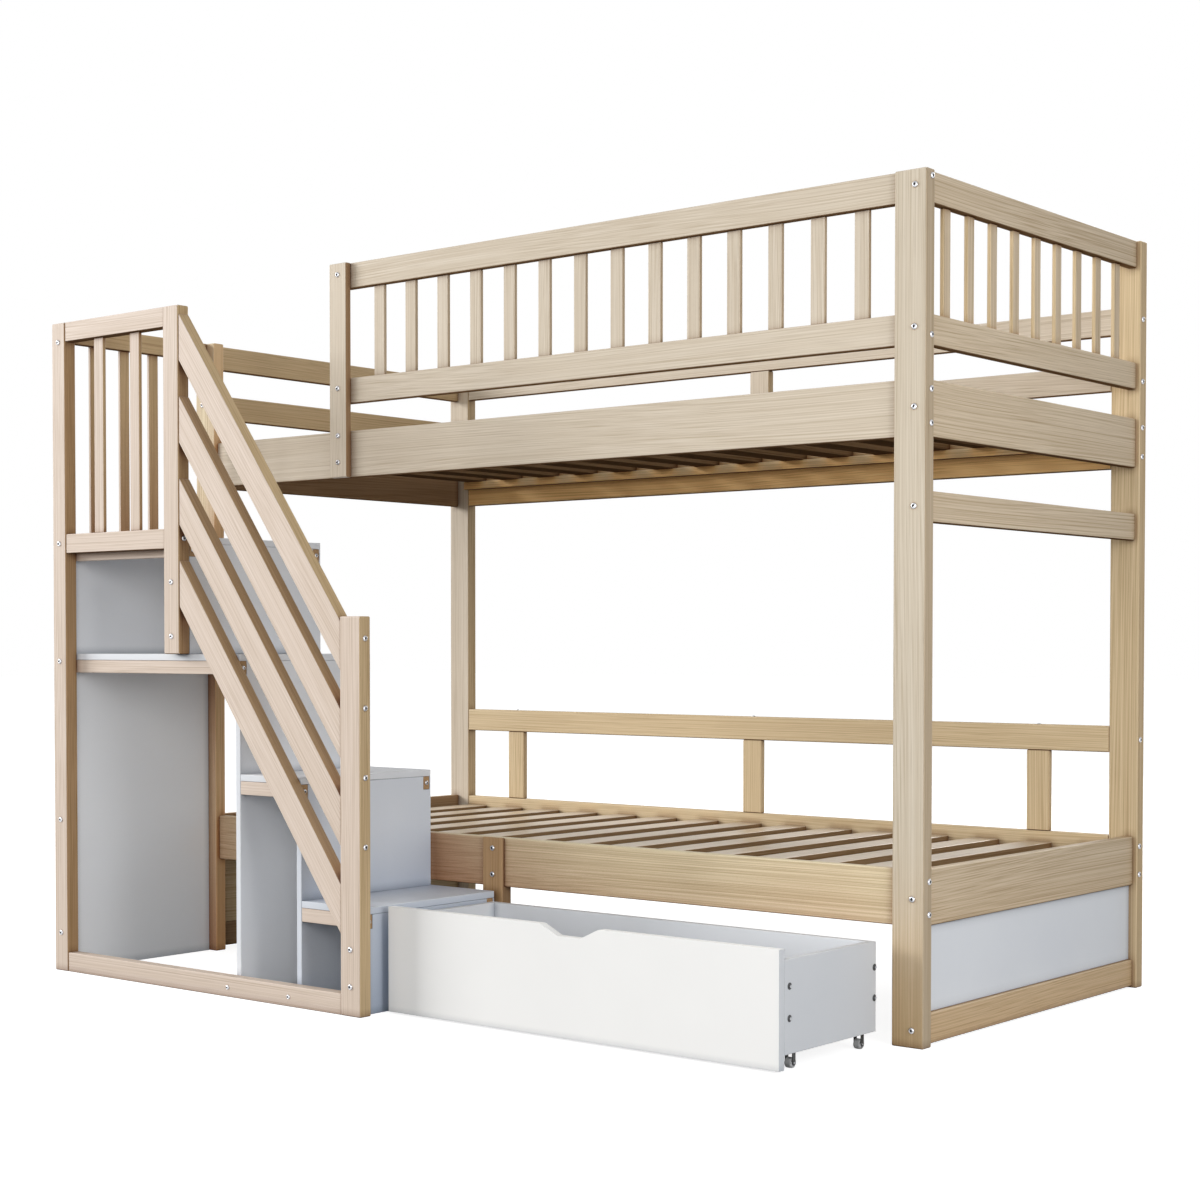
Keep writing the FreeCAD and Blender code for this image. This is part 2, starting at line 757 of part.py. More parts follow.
# Nothing is written unless every object and every shape is sound
for item in doc.Objects:
    if "Invalid" in item.State or "Error" in item.State:
        raise RuntimeError("%s: %s" % (item.Name, item.getStatusString()))
for body in bodies:
    if body.Shape.isNull() or not body.Shape.isValid():
        raise RuntimeError("bad shape: " + body.Label)
for body in bodies:
    body.Shape.exportStep("parts/%s.step" % body.Label)
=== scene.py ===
"""Looks of the bunk bed: oak boards with rounded edges, white panels, fasteners, floor, light and camera."""
import json
import math
import random

import bmesh
import bpy
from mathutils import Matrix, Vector


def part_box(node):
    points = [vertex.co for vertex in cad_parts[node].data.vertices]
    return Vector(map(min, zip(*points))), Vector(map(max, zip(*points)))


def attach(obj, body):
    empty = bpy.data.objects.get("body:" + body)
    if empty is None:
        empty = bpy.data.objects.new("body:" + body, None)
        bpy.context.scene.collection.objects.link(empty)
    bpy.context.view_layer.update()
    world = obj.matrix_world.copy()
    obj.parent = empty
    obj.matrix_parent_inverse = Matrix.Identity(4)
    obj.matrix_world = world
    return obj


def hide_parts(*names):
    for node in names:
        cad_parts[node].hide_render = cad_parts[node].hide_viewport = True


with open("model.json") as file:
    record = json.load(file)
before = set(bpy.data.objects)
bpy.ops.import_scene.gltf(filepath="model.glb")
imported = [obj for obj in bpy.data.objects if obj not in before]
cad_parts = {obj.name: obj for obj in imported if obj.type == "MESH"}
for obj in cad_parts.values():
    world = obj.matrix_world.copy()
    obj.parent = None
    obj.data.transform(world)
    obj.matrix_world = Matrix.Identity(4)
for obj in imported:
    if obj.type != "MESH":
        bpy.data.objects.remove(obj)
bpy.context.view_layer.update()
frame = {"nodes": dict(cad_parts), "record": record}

# Lengths are in metres
BOARD_ROUND = 0.003
THIN_ROUND = 0.002
PANEL_ROUND = 0.0014
LEG_ROUND = 0.001
DRAWER_FRONT_ROUND = 0.0007
ROUND_STEPS = 3
WELD = 1e-6
SHARP_ANGLE = math.radians(30)
FLAT_ANGLE = math.radians(1)

# CAD nodes, grouped by the look of their boards; most looks are copies tinted for the painted light or shade
# of the group
POST_BOARDS = ["post_front_right"]
FRONT_BOARDS = ["upper_side_rail_front", "front_guard_rails"]
GUARD_BOARDS = ["guard_post"]
LOW_BOARDS = ["lower_side_rail_front"]
END_BOARDS = [
    "upper_end_rails", "lower_end_rails", "end_guard_rails", "end_cross_bar", "end_bottom_rails",
]
CORNER_BOARDS = ["post_back_right"]
BACK_BOARDS = [
    "lower_side_rail_back", "left_end_guard_rails", "lower_back_guard_rail", "lower_back_guard_uprights",
]
NOOK_BOARDS = ["post_front_left"]
GOLD_BOARDS = ["upper_side_rail_back"]
FRONT_STRIPS = ["front_guard_balusters"]
END_STRIPS = ["end_guard_balusters"]
BACK_STRIPS = ["end_panel_left"]
PALE_BOARDS = ["post_back_left", "back_guard_rails", "back_guard_uprights"]
STAIR_BOARDS = ["stair_newel"]
PLATFORM_BOARDS = ["stair_post_middle"]
DEEP_BOARDS = ["stair_post_left"]
STAIR_STRIPS = [
    "stair_front_rails", "stair_bottom_rail", "stair_front_balusters",
    "stair_side_rails", "stair_side_balusters",
]
BEARERS = ["tread_bearers_1", "tread_bearers_2", "tread_bearers_3", "tread_bearers_4"]
WHITE_BOARDS = ["end_panel_right", "tread_2", "tread_3", "tread_4"]
COOL_SHADE_BOARDS = ["tread_1"]
DRAWER_BOARDS = ["drawer_sides", "drawer_back", "drawer_bottom"]
LOW_RISERS = ["riser_1", "riser_2"]
HIGH_RISERS = ["riser_3", "riser_4"]
WHEELS = sorted(name for name in frame["nodes"] if name.startswith("castor_wheel"))
NODE_BODY = {node: body for body, nodes in frame["record"]["behaviour"]["bodies"].items() for node in nodes}

# Sockets of the colour mix node
MIX_SHARE = 0
MIX_FIRST = 6
MIX_SECOND = 7
MIX_COLOUR = 2

AO_SAMPLES = 6
# An upright face hides half of the sky from itself
UPRIGHT_HIDDEN = (0.5, 0.85)
# The range that holds nearly all of a noise
NOISE_SPREAD = (0.3, 0.7)

X_AXIS = Vector((1, 0, 0))
Y_AXIS = Vector((0, 1, 0))
Z_AXIS = Vector((0, 0, 1))
AXES = (X_AXIS, Y_AXIS, Z_AXIS)


# Node helpers

def new_material(name):
    material = bpy.data.materials.new(name)
    material.use_nodes = True
    return material, material.node_tree, material.node_tree.nodes["Principled BSDF"]


def feed(tree, socket, value):
    """Links a socket to another one, or sets it to a constant."""
    if isinstance(value, bpy.types.NodeSocket):
        tree.links.new(value, socket)
    else:
        socket.default_value = value


def add(tree, kind, inputs, **settings):
    """A node with its settings made and its inputs fed; gives its first output."""
    node = tree.nodes.new(kind)
    for key, value in settings.items():
        setattr(node, key, value)
    for key, value in inputs.items():
        feed(tree, node.inputs[key], value)
    return node.outputs[0]


def attribute(tree, name, output):
    node = tree.nodes.new("ShaderNodeAttribute")
    node.attribute_name = name
    return node.outputs[output]


def place_in_object(tree):
    return tree.nodes.new("ShaderNodeTexCoord").outputs["Object"]


def calculate(tree, operation, first, second):
    return add(tree, "ShaderNodeMath", {0: first, 1: second}, operation=operation)


def noise(tree, vector, scale, detail):
    """Noise whose grains are 1 / scale metres long on each axis."""
    spread = add(tree, "ShaderNodeVectorMath", {0: vector, 1: scale}, operation="MULTIPLY")
    return add(tree, "ShaderNodeTexNoise", {"Vector": spread, "Scale": 1.0, "Detail": detail})


def even_noise(tree, vector, scale, detail):
    return noise(tree, vector, (scale, scale, scale), detail)


def weighed(tree, parts):
    """The sum of values, each times its share."""
    total = None
    for value, share in parts:
        part = calculate(tree, "MULTIPLY", value, share)
        total = part if total is None else calculate(tree, "ADD", total, part)
    return total


def remap(tree, value, old, new):
    spans = {"From Min": old[0], "From Max": old[1], "To Min": new[0], "To Max": new[1]}
    return add(tree, "ShaderNodeMapRange", {"Value": value, **spans})


def ramp(tree, value, stops):
    """A colour for each value, between given places."""
    node = tree.nodes.new("ShaderNodeValToRGB")
    feed(tree, node.inputs["Fac"], value)
    band = node.color_ramp
    while len(band.elements) < len(stops):
        band.elements.new(1.0)
    for element, (place, colour) in zip(band.elements, stops):
        element.position = place
        element.color = (*colour, 1.0)
    return node.outputs["Color"]


def between(tree, value, low, high):
    """A colour from low to high over the range of a noise."""
    return ramp(tree, value, list(zip(NOISE_SPREAD, (low, high))))


def mixed(tree, share, first, second, way="MIX"):
    node = tree.nodes.new("ShaderNodeMix")
    node.data_type = "RGBA"
    node.blend_type = way
    feed(tree, node.inputs[MIX_SHARE], share)
    feed(tree, node.inputs[MIX_FIRST], first)
    feed(tree, node.inputs[MIX_SECOND], (*second, 1.0))
    return node.outputs[MIX_COLOUR]


def deepened(tree, colour, reach, deep, upward=False):
    """A colour turned into painted shade where other pieces are within reach, or only where they are above.
    """
    node = tree.nodes.new("ShaderNodeAmbientOcclusion")
    node.samples = AO_SAMPLES
    node.inputs["Distance"].default_value = reach
    hidden = calculate(tree, "SUBTRACT", 1.0, node.outputs["AO"])
    if upward:
        feed(tree, node.inputs["Normal"], add(tree, "ShaderNodeCombineXYZ", {"Z": 1.0}))
        hidden = remap(tree, hidden, UPRIGHT_HIDDEN, (0.0, 1.0))
    return mixed(tree, hidden, colour, deep, "MULTIPLY")


def bump(tree, shader, height, strength, distance):
    inputs = {"Height": height, "Strength": strength, "Distance": distance}
    tree.links.new(add(tree, "ShaderNodeBump", inputs), shader.inputs["Normal"])


# Materials

# Parts of the grain, as shares of a wood's own colour
PALE = (1.13, 1.16, 1.22)
BROWN = (0.76, 0.71, 0.64)
PORE = (0.56, 0.5, 0.43)
# Grains per metre along, across and through a board
SWAY_SCALE = (0.6, 4, 4)
DRIFT_SCALE = (0.3, 24, 24)
LINE_SCALE = (0.45, 400, 400)
FIBRE_SCALE = (1.6, 900, 900)
FLECK_SCALE = (9, 1100, 1100)
# Growth lines: half rings per metre, how far they wander, and the part of a half ring that is dark
RINGS_ACROSS = 310
RINGS_THROUGH = 420
RING_DRIFT = 6.0
RING_DARK = (0.5, 1.0)
GRAIN_SWAY = 0.05
# Shares in a board's shade, and where the pale, middle and brown colours lie in it
RING_SHARE = 0.09
LINE_SHARE = 0.58
FIBRE_SHARE = 0.29
TONE_SHARE = 0.06
MIDDLE_SHADE = 0.5
PALE_STEP = 0.14
BROWN_STEP = 0.16
# Flecks that open into pores, how dark these are, and how pale the rounded edges are, partly from wear and
# partly as a painted highlight
PORE_FLECKS = (0.56, 0.72)
PORE_DEPTH = (0.0, 0.34)
EDGE_WEAR_AND_HIGHLIGHT = 0.3
# Painted shade: how far around a surface other pieces darken it, and what that painted shade makes of a
# colour
JOINT_REACH = 0.02
JOINT_SHADE = (0.3, 0.33, 0.38)
WOOD_JOINT_SHADE = (0.2, 0.07, 0.01)
NEAR_SHADE_REACH = 0.4
NEAR_SHADE = (0.9, 0.64, 0.3)
DEEP_NEAR_SHADE = (0.9, 0.46, 0.14)
DARK_NEAR_SHADE = (0.36, 0.08, 0.0)
GOLDEN_SHADE_BELOW = (1.5, 1.2, 0.8)
COOL_SHADE_REACH = 0.16
COOL_SHADE = (0.5, 0.57, 0.68)
# Specular levels and ranges of roughness
# No specular, for the dark copies that paint shade
NO_GLOSS = 0.0
LACQUER = 0.2
WAX = 0.4
LAMINATE_GLOSS = 0.18
COAT_GLOSS = 0.4
LACQUER_ROUGH = (0.46, 0.6)
WAX_ROUGH = (0.3, 0.4)
LAMINATE_ROUGH = (0.4, 0.52)
STEEL_ROUGH = (0.24, 0.42)
# Rubbed edges of the white boards
SCUFFED = (0.45, 0.7)
RUBBED = (0.05, 0.4)
RUBBED_COLOUR = (0.6, 0.58, 0.55)


def growth_lines(tree, place):
    """Thin dark lines along a board, some millimetres apart, that wander with the place."""
    parts = tree.nodes.new("ShaderNodeSeparateXYZ")
    feed(tree, parts.inputs["Vector"], place)
    drift = noise(tree, place, DRIFT_SCALE, detail=1)
    across, through = parts.outputs["Y"], parts.outputs["Z"]
    rings = weighed(tree, [(across, RINGS_ACROSS), (through, RINGS_THROUGH), (drift, RING_DRIFT)])
    return remap(tree, calculate(tree, "PINGPONG", rings, 1.0), RING_DARK, (0.0, 1.0))


def shaded(colour, shares):
    return tuple(part * share for part, share in zip(colour, shares))


def oak(name, colour, gloss=LACQUER, rough=LACQUER_ROUGH, contrast=1.0, near_shade=None, shade_below=None):
    """Oak with growth lines, fibres and open pores along each board, paler at its rounded edges, partly from
    wear and partly as a painted highlight.

    It is darkened with painted shade at its joints; some copies also take a painted shade where other pieces
    stand close around it, and a more golden painted shade under them.
    """
    material, tree, shader = new_material(name)
    grain = attribute(tree, "grain", "Vector")
    tone = attribute(tree, "tone", "Fac")
    wear_and_highlight = attribute(tree, "wear_and_highlight", "Fac")
    sway = calculate(tree, "MULTIPLY", noise(tree, grain, SWAY_SCALE, detail=1), GRAIN_SWAY)
    shift = add(tree, "ShaderNodeCombineXYZ", {"Y": sway, "Z": sway})
    bent = add(tree, "ShaderNodeVectorMath", {0: grain, 1: shift}, operation="ADD")
    rings = growth_lines(tree, bent)
    lines = noise(tree, bent, LINE_SCALE, detail=2)
    fibres = noise(tree, grain, FIBRE_SCALE, detail=1)
    flecks = noise(tree, grain, FLECK_SCALE, detail=1)
    shares = [(rings, RING_SHARE), (lines, LINE_SHARE), (fibres, FIBRE_SHARE), (tone, TONE_SHARE)]
    stops = [
        (MIDDLE_SHADE - PALE_STEP / contrast, shaded(colour, PALE)),
        (MIDDLE_SHADE, colour),
        (MIDDLE_SHADE + BROWN_STEP / contrast, shaded(colour, BROWN)),
    ]
    pores = remap(tree, flecks, PORE_FLECKS, PORE_DEPTH)
    wood = mixed(tree, pores, ramp(tree, weighed(tree, shares), stops), shaded(colour, PORE))
    # Rounded edges paler: partly wear, partly a painted highlight
    wood = mixed(tree, calculate(tree, "MULTIPLY", wear_and_highlight, EDGE_WEAR_AND_HIGHLIGHT), wood, shaded(colour, PALE))
    # Painted shade where other pieces stand close around the board
    if near_shade:
        wood = deepened(tree, wood, NEAR_SHADE_REACH, near_shade)
    # Painted golden shade where other pieces are above the board
    if shade_below:
        wood = deepened(tree, wood, NEAR_SHADE_REACH, shade_below, upward=True)
    # Painted shade at the joints
    feed(tree, shader.inputs["Base Color"], deepened(tree, wood, JOINT_REACH, WOOD_JOINT_SHADE))
    feed(tree, shader.inputs["Roughness"], remap(tree, lines, NOISE_SPREAD, rough))
    shader.inputs["Specular IOR Level"].default_value = gloss
    height = weighed(tree, [(lines, 0.6), (pores, -1.0)])
    bump(tree, shader, height, strength=0.3, distance=0.0005)
    return material


def laminate(name, low, high, cool_shade=None):
    """White laminate: a faint cloudiness, a fine orange peel, and rubbed edges.

    It is darkened with painted shade at its joints; some copies also take a cooler painted shade where other
    pieces stand close around it.
    """
    material, tree, shader = new_material(name)
    place = place_in_object(tree)
    wear_and_highlight = attribute(tree, "wear_and_highlight", "Fac")
    cloud = even_noise(tree, place, scale=4, detail=3)
    peel = even_noise(tree, place, scale=700, detail=2)
    scuff = even_noise(tree, place, scale=45, detail=3)
    colour = between(tree, cloud, low, high)
    rubbed = calculate(tree, "MULTIPLY", wear_and_highlight, remap(tree, scuff, SCUFFED, RUBBED))
    colour = mixed(tree, rubbed, colour, RUBBED_COLOUR)
    # Cooler painted shade where other pieces stand close around the board
    if cool_shade:
        colour = deepened(tree, colour, COOL_SHADE_REACH, cool_shade)
    # Painted shade at the joints
    feed(tree, shader.inputs["Base Color"], deepened(tree, colour, JOINT_REACH, JOINT_SHADE))
    feed(tree, shader.inputs["Roughness"], remap(tree, scuff, NOISE_SPREAD, LAMINATE_ROUGH))
    shader.inputs["Specular IOR Level"].default_value = LAMINATE_GLOSS
    bump(tree, shader, peel, strength=0.08, distance=0.0003)
    return material


def steel(name, pale, dark):
    """Zinc plated steel with a soft cloud of tarnish and fine turning marks."""
    material, tree, shader = new_material(name)
    place = place_in_object(tree)
    cloud = even_noise(tree, place, scale=260, detail=3)
    marks = even_noise(tree, place, scale=2600, detail=1)
    feed(tree, shader.inputs["Base Color"], ramp(tree, cloud, [(0.35, pale), (0.7, dark)]))
    feed(tree, shader.inputs["Roughness"], remap(tree, cloud, NOISE_SPREAD, STEEL_ROUGH))
    shader.inputs["Metallic"].default_value = 1.0
    bump(tree, shader, marks, strength=0.15, distance=0.0001)
    return material


def coated(name, low, high, rough, grain_size):
    """Paint, plastic or rubber: two close shades in a fine cloud, with a matching texture."""
    material, tree, shader = new_material(name)
    place = place_in_object(tree)
    cloud = even_noise(tree, place, scale=90, detail=3)
    texture = even_noise(tree, place, scale=1 / grain_size, detail=2)
    feed(tree, shader.inputs["Base Color"], between(tree, cloud, low, high))
    feed(tree, shader.inputs["Roughness"], remap(tree, texture, NOISE_SPREAD, rough))
    shader.inputs["Specular IOR Level"].default_value = COAT_GLOSS
    bump(tree, shader, texture, strength=0.2, distance=0.0002)
    return material


# Copies of one oak, each tinted lighter or darker, paler or more golden for how light falls on the parts and
# faces they go on: painted light and shade. The darkest ones paint the shade on narrow sides, inner faces,
# undersides and the sides of slats.
FRONT_OAK = oak("front_oak", (0.595, 0.51, 0.4), contrast=0.78)
POST_OAK = oak("post_oak", (0.565, 0.487, 0.378), contrast=0.9, near_shade=NEAR_SHADE)
POST_SIDE_OAK = oak("post_side_oak", (0.45, 0.35, 0.235))
LOW_OAK = oak("low_oak", (0.76, 0.645, 0.43), near_shade=DARK_NEAR_SHADE)
END_OAK = oak("end_oak", (0.6, 0.48, 0.335), contrast=1.2, near_shade=NEAR_SHADE)
BACK_OAK = oak("back_oak", (0.625, 0.483, 0.295), contrast=1.1)
STAIR_OAK = oak("stair_oak", (0.685, 0.567, 0.473), contrast=0.7)
PALE_OAK = oak("pale_oak", (0.64, 0.55, 0.44), contrast=0.8)
SHADE_OAK = oak("shade_oak", (0.42, 0.26, 0.13))
NOOK_OAK = oak("nook_oak", (0.64, 0.45, 0.255), near_shade=DEEP_NEAR_SHADE)
GOLD_OAK = oak("gold_oak", (0.64, 0.5, 0.31), contrast=1.2, shade_below=GOLDEN_SHADE_BELOW)
SIDE_OAK = oak("side_oak", (0.56, 0.41, 0.235))
EDGE_OAK = oak("edge_oak", (0.54, 0.39, 0.215), near_shade=DARK_NEAR_SHADE)
INNER_OAK = oak("inner_oak", (0.32, 0.2, 0.11), NO_GLOSS)
UNDER_OAK = oak("under_oak", (0.25, 0.155, 0.085), NO_GLOSS)
SLAT_OAK = oak("slat_oak", (0.66, 0.52, 0.365), WAX, WAX_ROUGH, contrast=0.8)
UPPER_SLAT_OAK = oak("upper_slat_oak", (0.8, 0.68, 0.52), contrast=0.8)
SLAT_SIDE_OAK = oak("slat_side_oak", (0.28, 0.175, 0.09), NO_GLOSS)
UPPER_SIDE_OAK = oak("upper_slat_side_oak", (0.22, 0.14, 0.075), NO_GLOSS)
SLAT_UNDER_OAK = oak("slat_under_oak", (0.14, 0.085, 0.046), NO_GLOSS)
# Copies of one white laminate, each tinted lighter, darker, warmer or cooler for how light falls on the
# parts and faces they go on: painted light and shade
WHITE = laminate("white_laminate", (0.755, 0.775, 0.815), (0.79, 0.808, 0.84))
RISER_WHITE = laminate("white_riser", (0.69, 0.725, 0.785), (0.72, 0.75, 0.805), COOL_SHADE)
DRAWER_WHITE = laminate("white_drawer_carcass", (0.65, 0.668, 0.7), (0.68, 0.695, 0.722))
FRONT_WHITE = laminate("white_drawer_front", (0.87, 0.863, 0.852), (0.895, 0.888, 0.876))
PANEL_WHITE = laminate("white_stair_panel", (0.905, 0.92, 0.95), (0.92, 0.934, 0.96))
ZINC = steel("zinc_steel", (0.64, 0.65, 0.67), (0.42, 0.42, 0.45))
# Near black: paints the shade inside the bolts' six-sided sockets and around the drawer's connectors
RECESS_SHADE = coated("recess_painted_shade", (0.025, 0.025, 0.027), (0.06, 0.06, 0.062), (0.4, 0.6), 0.0004)
BLACK_PAINT = coated("black_paint", (0.016, 0.016, 0.017), (0.032, 0.032, 0.033), (0.34, 0.5), 0.0006)
GREY_TYRE = coated("grey_tyre", (0.42, 0.42, 0.425), (0.54, 0.54, 0.54), (0.5, 0.68), 0.0007)


# Boards

# Slots for a board's faces: main faces, narrow sides, undersides and one more kind. The later slots mostly
# hold darker or lighter copies that paint the shade or light those faces are in.
MAIN, SIDE, UNDER, OTHER = range(4)
FACING = 0.7
SLANTED_FACING = 0.3
FLAT_FACE_WEIGHT = 100
WOOD_REACH = 30
BOX_SIDES = [(0, 1, 3, 2), (4, 6, 7, 5), (0, 4, 5, 1), (2, 3, 7, 6), (0, 2, 6, 4), (1, 5, 7, 3)]


def span(points, axis):
    values = [point[axis] for point in points]
    return min(values), max(values)


def solids(node):
    """The points of each separate solid of a CAD node, in a fixed order."""
    bm = bmesh.new()
    bm.from_mesh(frame["nodes"][node].data)
    bmesh.ops.remove_doubles(bm, verts=bm.verts, dist=WELD)
    groups = []
    seen = set()
    for first in bm.verts:
        if first in seen:
            continue
        seen.add(first)
        queue = [first]
        for vert in queue:
            near = [edge.other_vert(vert) for edge in vert.link_edges]
            fresh = [other for other in near if other not in seen]
            seen.update(fresh)
            queue.extend(fresh)
        groups.append([vert.co.copy() for vert in queue])
    bm.free()
    return sorted(groups, key=lambda points: [span(points, axis)[0] for axis in range(3)])


def straight_corners(points):
    x, y, z = (span(points, axis) for axis in range(3))
    return [Vector((across, deep, high)) for across in x for deep in y for high in z]


def slanted_corners(points):
    """Corners of a board whose upright ends stand at different heights."""
    corners = []
    for end in span(points, 0):
        z = span([point for point in points if abs(point.x - end) < WELD], 2)
        corners += [Vector((end, deep, high)) for deep in span(points, 1) for high in z]
    return corners


def box_axes(corners):
    """The three axes of a straight board, the longest first."""
    sizes = [span(corners, axis)[1] - span(corners, axis)[0] for axis in range(3)]
    return [AXES[axis] for axis in sorted(range(3), key=lambda axis: -sizes[axis])]


def slanted_axes(corners):
    along = (corners[4] - corners[0]).normalized()
    return [along, Y_AXIS.cross(along), Y_AXIS]


def unpacked(bm, rounded_faces):
    """Points, faces, and a mark for the points that lie inside rounded edges."""
    bm.verts.index_update()
    points = [vert.co.copy() for vert in bm.verts]
    faces = [[vert.index for vert in face.verts] for face in bm.faces]
    wear_and_highlight = [float(all(face in rounded_faces for face in vert.link_faces)) for vert in bm.verts]
    bm.free()
    return points, faces, wear_and_highlight


def rounded_edges(bm, edges, radius):
    made = bmesh.ops.bevel(
        bm, geom=edges, offset=radius, offset_type="OFFSET",
        segments=ROUND_STEPS, profile=0.5, affect="EDGES",
    )
    return set(made["faces"])


def rounded_board(corners, radius):
    bm = bmesh.new()
    verts = [bm.verts.new(corner) for corner in corners]
    for side in BOX_SIDES:
        bm.faces.new([verts[index] for index in side])
    return unpacked(bm, rounded_edges(bm, list(bm.edges), radius))


def rounded_solid(node, radius):
    """A CAD node's own shape with its sharp edges rounded."""
    bm = bmesh.new()
    bm.from_mesh(frame["nodes"][node].data)
    bmesh.ops.remove_doubles(bm, verts=bm.verts, dist=WELD)
    bmesh.ops.dissolve_limit(bm, angle_limit=FLAT_ANGLE, verts=bm.verts, edges=bm.edges)
    sharp = [edge for edge in bm.edges if edge.calc_face_angle(0.0) > SHARP_ANGLE]
    return unpacked(bm, rounded_edges(bm, sharp, radius))


class Stock:
    """Boards gathered into one mesh, each cut from its own place in the wood."""

    def __init__(self, name):
        self.name = name
        self.chance = random.Random(name)
        self.points = []
        self.faces = []
        self.wear_and_highlight = []
        self.grain = []
        self.tone = []

    def lay(self, shape, axes):
        points, faces, wear_and_highlight = shape
        start = len(self.points)
        origin = Vector([self.chance.uniform(0, WOOD_REACH) for _ in AXES])
        tone = self.chance.random()
        self.points += points
        self.faces += [[start + index for index in face] for face in faces]
        self.wear_and_highlight += wear_and_highlight
        self.grain += [origin + Vector([point.dot(axis) for axis in axes]) for point in points]
        self.tone += [tone] * len(points)

    def build(self, materials, pick):
        """The mesh as an object; pick gives each face's material from its direction."""
        mesh = bpy.data.meshes.new(self.name)
        mesh.from_pydata(self.points, [], self.faces)
        for key, kind, field, values in (
            ("grain", "FLOAT_VECTOR", "vector", [part for place in self.grain for part in place]),
            ("tone", "FLOAT", "value", self.tone),
            ("wear_and_highlight", "FLOAT", "value", self.wear_and_highlight),
        ):
            mesh.attributes.new(key, kind, "POINT").data.foreach_set(field, values)
        piece = finished(mesh, materials)
        mesh.polygons.foreach_set("material_index", [pick(face) for face in mesh.polygons])
        return piece


def finished(mesh, materials):
    """An object of a mesh, smooth over its rounded edges and flat on its faces."""
    for material in materials:
        mesh.materials.append(material)
    mesh.polygons.foreach_set("use_smooth", [True] * len(mesh.polygons))
    piece = bpy.data.objects.new(mesh.name, mesh)
    bpy.context.scene.collection.objects.link(piece)
    flat = piece.modifiers.new("flat_faces", "WEIGHTED_NORMAL")
    flat.weight = FLAT_FACE_WEIGHT
    return piece


def stand_for(piece, node):
    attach(piece, NODE_BODY[node])
    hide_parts(node)


def plain(face):
    return MAIN


def long_board(face):
    """For boards along the bed: their ends and narrow sides face along X."""
    if face.normal.z < -FACING:
        return UNDER
    return SIDE if abs(face.normal.x) > FACING else MAIN


def end_board(face):
    """For boards across the bed: their narrow sides face along Y, and the left end's inner faces get a dark
    copy that paints their shade.
    """
    if face.normal.z < -FACING:
        return UNDER
    if face.normal.x > FACING and face.center.x < 0:
        return OTHER
    return SIDE if abs(face.normal.y) > FACING else MAIN


def wall_board(face):
    """For boards at the back: the face to the wall is as on the other back boards."""
    return OTHER if face.normal.y > FACING else long_board(face)


def slanted_board(face):
    return UNDER if face.normal.z < -SLANTED_FACING else long_board(face)


def right_side(face):
    return SIDE if face.normal.x > FACING else MAIN


def riser_board(face):
    return SIDE if face.normal.x < -FACING else MAIN


def slat(face):
    if face.normal.z < -FACING:
        return UNDER
    return MAIN if face.normal.z > FACING else SIDE


def boards(node, radius, materials, pick, corners_of=straight_corners, axes_of=box_axes):
    stock = Stock(node + "_dressed")
    for points in solids(node):
        corners = corners_of(points)
        stock.lay(rounded_board(corners, radius), axes_of(corners))
    stand_for(stock.build(materials, pick), node)


def shaped(node, radius, axes, materials, pick):
    stock = Stock(node + "_dressed")
    stock.lay(rounded_solid(node, radius), axes)
    stand_for(stock.build(materials, pick), node)


